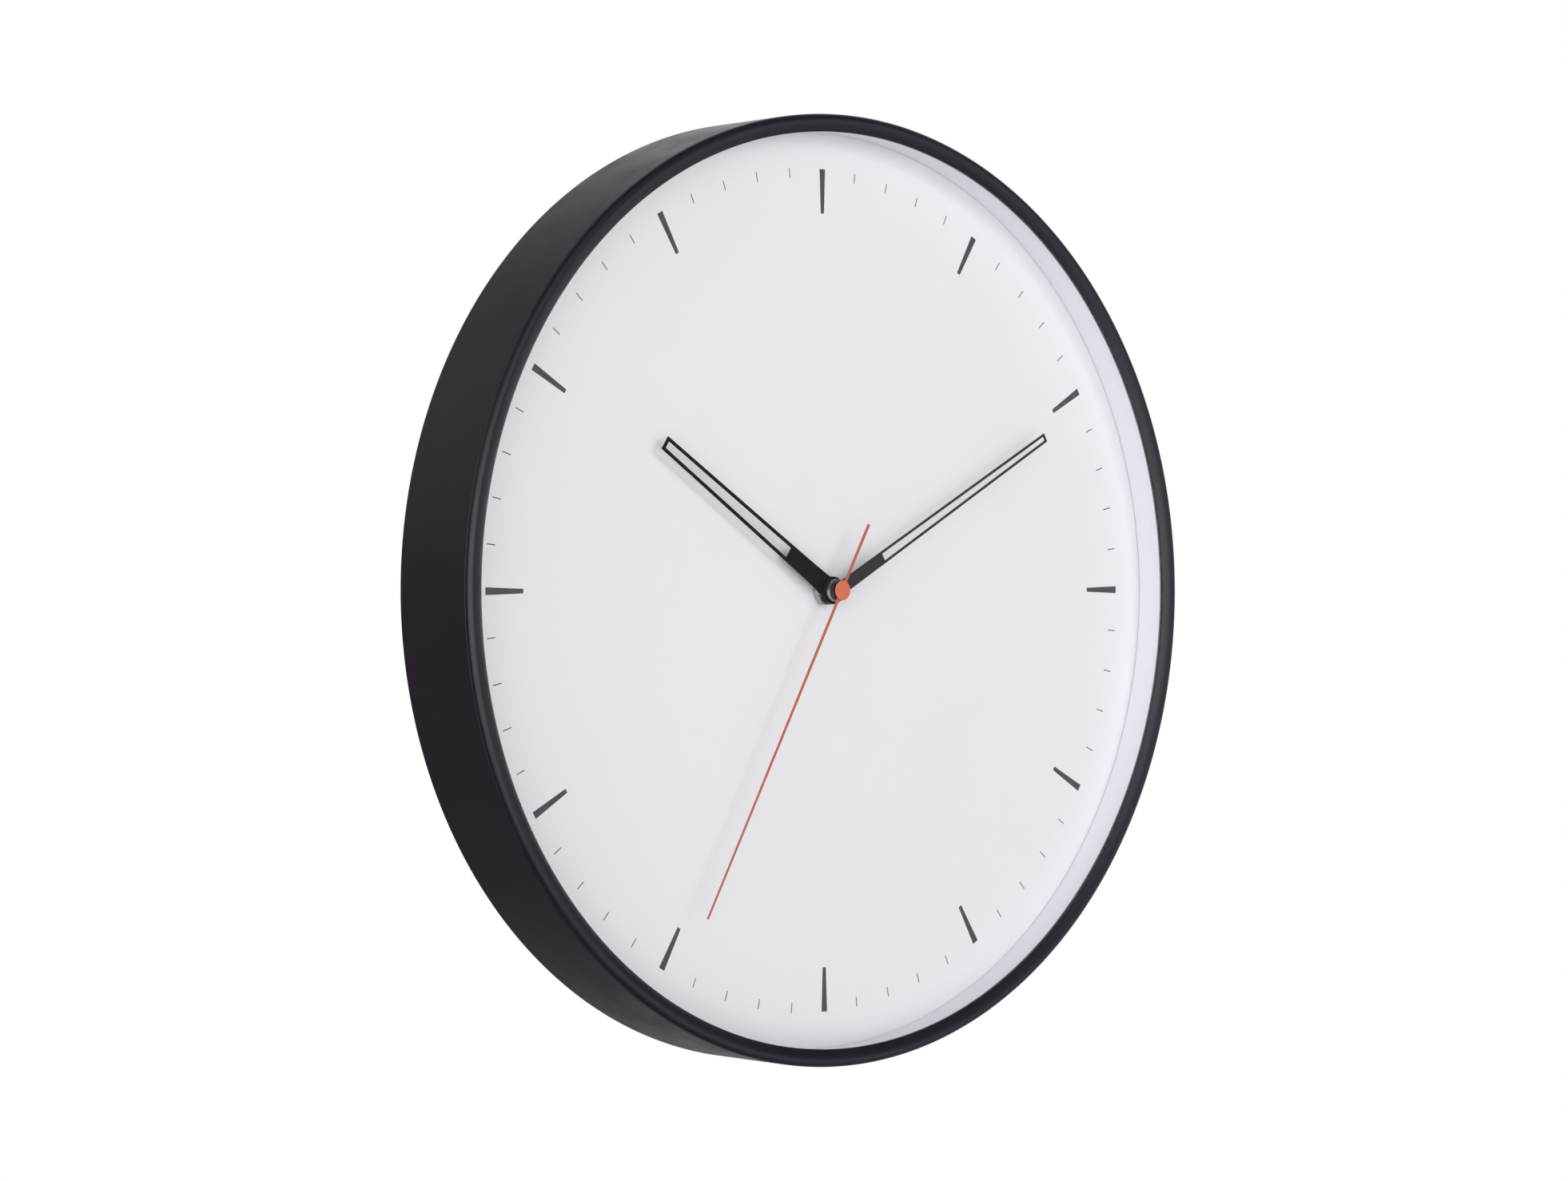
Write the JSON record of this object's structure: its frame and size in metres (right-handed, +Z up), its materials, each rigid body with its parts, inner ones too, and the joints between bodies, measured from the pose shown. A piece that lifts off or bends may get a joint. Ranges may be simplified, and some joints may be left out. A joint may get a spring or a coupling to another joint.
{
  "type": "wall clock",
  "caption": "Round black wall clock with a flat glass front, plain white dial, skeleton hour and minute hands, an orange second hand and a quartz movement.",
  "frame": {"origin": "the point where the top of the hanger's keyhole slot bears on the wall screw, in the plane of the wall", "axes": "+X to the right seen from the front, +Y into the wall along the hands' axis, +Z up"},
  "size_m": [0.4, 0.0461, 0.4],
  "materials": {
    "case_black": "satin black moulded shell with a fine grain",
    "bezel_black": "satin black, smooth",
    "clear_glass": "polished flat glass",
    "black_rubber": "matte",
    "white_wall": "satin white",
    "dial_white": "matte white lacquer with dark grey printed marks",
    "back_plastic": "fine-textured black",
    "zinc_steel": "bright zinc",
    "chrome_nut": "polished",
    "brass": "turned",
    "hand_black": "satin black lacquer",
    "hand_orange": "satin orange lacquer",
    "gear_plastic": "natural acetal",
    "gear_steel": "turned steel",
    "copper_wire": "enamelled copper winding",
    "board_green": "solder resist",
    "battery_jacket": "printed film over a steel can"
  },
  "bodies": {
    "case": {"case_band": "case_black", "bezel_ring": "bezel_black", "lens_glass": "clear_glass", "lens_gasket": "black_rubber", "spacer_ring": "white_wall", "dial_plate": "dial_white", "rear_cover": "back_plastic", "hanger_plate": "zinc_steel", "cover_screw_1": "zinc_steel", "cover_screw_2": "zinc_steel", "cover_screw_3": "zinc_steel", "cover_screw_4": "zinc_steel", "cover_screw_5": "zinc_steel", "cover_screw_6": "zinc_steel", "hanger_screw_1": "zinc_steel", "hanger_screw_2": "zinc_steel", "wall_bumper_left": "black_rubber", "wall_bumper_right": "black_rubber", "movement_housing": "back_plastic", "movement_back_cover": "back_plastic", "middle_plate": "gear_plastic", "rubber_washer": "black_rubber", "brass_washer": "brass", "fixing_nut": "chrome_nut", "stator": "gear_steel", "coil": "copper_wire", "coil_core": "gear_steel", "circuit_board": "board_green", "controller_chip": "back_plastic", "quartz_crystal": "zinc_steel", "contact_plus": "brass", "contact_minus": "brass", "battery": "battery_jacket"},
    "seconds_arbor": {"second_wheel": "gear_steel", "second_hand": "hand_orange", "second_cap": "hand_orange"},
    "minute_arbor": {"centre_wheel": "gear_plastic", "minute_pipe": "chrome_nut", "minute_collet": "zinc_steel", "minute_hand": "hand_black"},
    "hour_arbor": {"hour_wheel": "gear_plastic", "hour_collet": "zinc_steel", "hour_hand": "hand_black"},
    "third_arbor": {"third_wheel": "gear_plastic"},
    "intermediate_arbor": {"intermediate_wheel": "gear_plastic"},
    "motor_rotor": {"rotor": "gear_steel"},
    "motion_arbor": {"motion_wheel": "gear_plastic"},
    "time_setter": {"setting_knob": "back_plastic"}
  },
  "joints": [
    {"name": "second_hand_turn", "type": "hinge", "parent": "case", "child": "seconds_arbor", "pos_m": [0, -0.025, -0.15], "axis": [0, 1, 0], "continuous": true},
    {"name": "minute_hand_turn", "type": "hinge", "parent": "case", "child": "minute_arbor", "pos_m": [0, -0.029, -0.15], "axis": [0, 1, 0], "continuous": true},
    {"name": "hour_hand_turn", "type": "hinge", "parent": "case", "child": "hour_arbor", "pos_m": [0, -0.028, -0.15], "axis": [0, 1, 0], "continuous": true},
    {"name": "third_wheel_turn", "type": "hinge", "parent": "case", "child": "third_arbor", "pos_m": [0.01005, -0.019, -0.14823], "axis": [0, 1, 0], "continuous": true},
    {"name": "intermediate_wheel_turn", "type": "hinge", "parent": "case", "child": "intermediate_arbor", "pos_m": [-0.00573, -0.0165, -0.14427], "axis": [0, 1, 0], "continuous": true},
    {"name": "rotor_turn", "type": "hinge", "parent": "case", "child": "motor_rotor", "pos_m": [-0.00383, -0.0155, -0.13717], "axis": [0, 1, 0], "continuous": true},
    {"name": "motion_wheel_turn", "type": "hinge", "parent": "case", "child": "motion_arbor", "pos_m": [-0.0096, -0.0225, -0.15], "axis": [0, 1, 0], "continuous": true},
    {"name": "setting_knob_turn", "type": "hinge", "parent": "case", "child": "time_setter", "pos_m": [-0.01577, -0.014, -0.14265], "axis": [0, 1, 0], "continuous": true}
  ],
  "couplings": [
    {"joint": "minute_hand_turn", "follows": "second_hand_turn", "ratio": 0.016667},
    {"joint": "hour_hand_turn", "follows": "second_hand_turn", "ratio": 0.0013889},
    {"joint": "third_wheel_turn", "follows": "second_hand_turn", "ratio": -0.13333},
    {"joint": "intermediate_wheel_turn", "follows": "second_hand_turn", "ratio": -5},
    {"joint": "rotor_turn", "follows": "second_hand_turn", "ratio": 30},
    {"joint": "motion_wheel_turn", "follows": "second_hand_turn", "ratio": -0.0055556},
    {"joint": "setting_knob_turn", "follows": "second_hand_turn", "ratio": 0.016667}
  ]
}
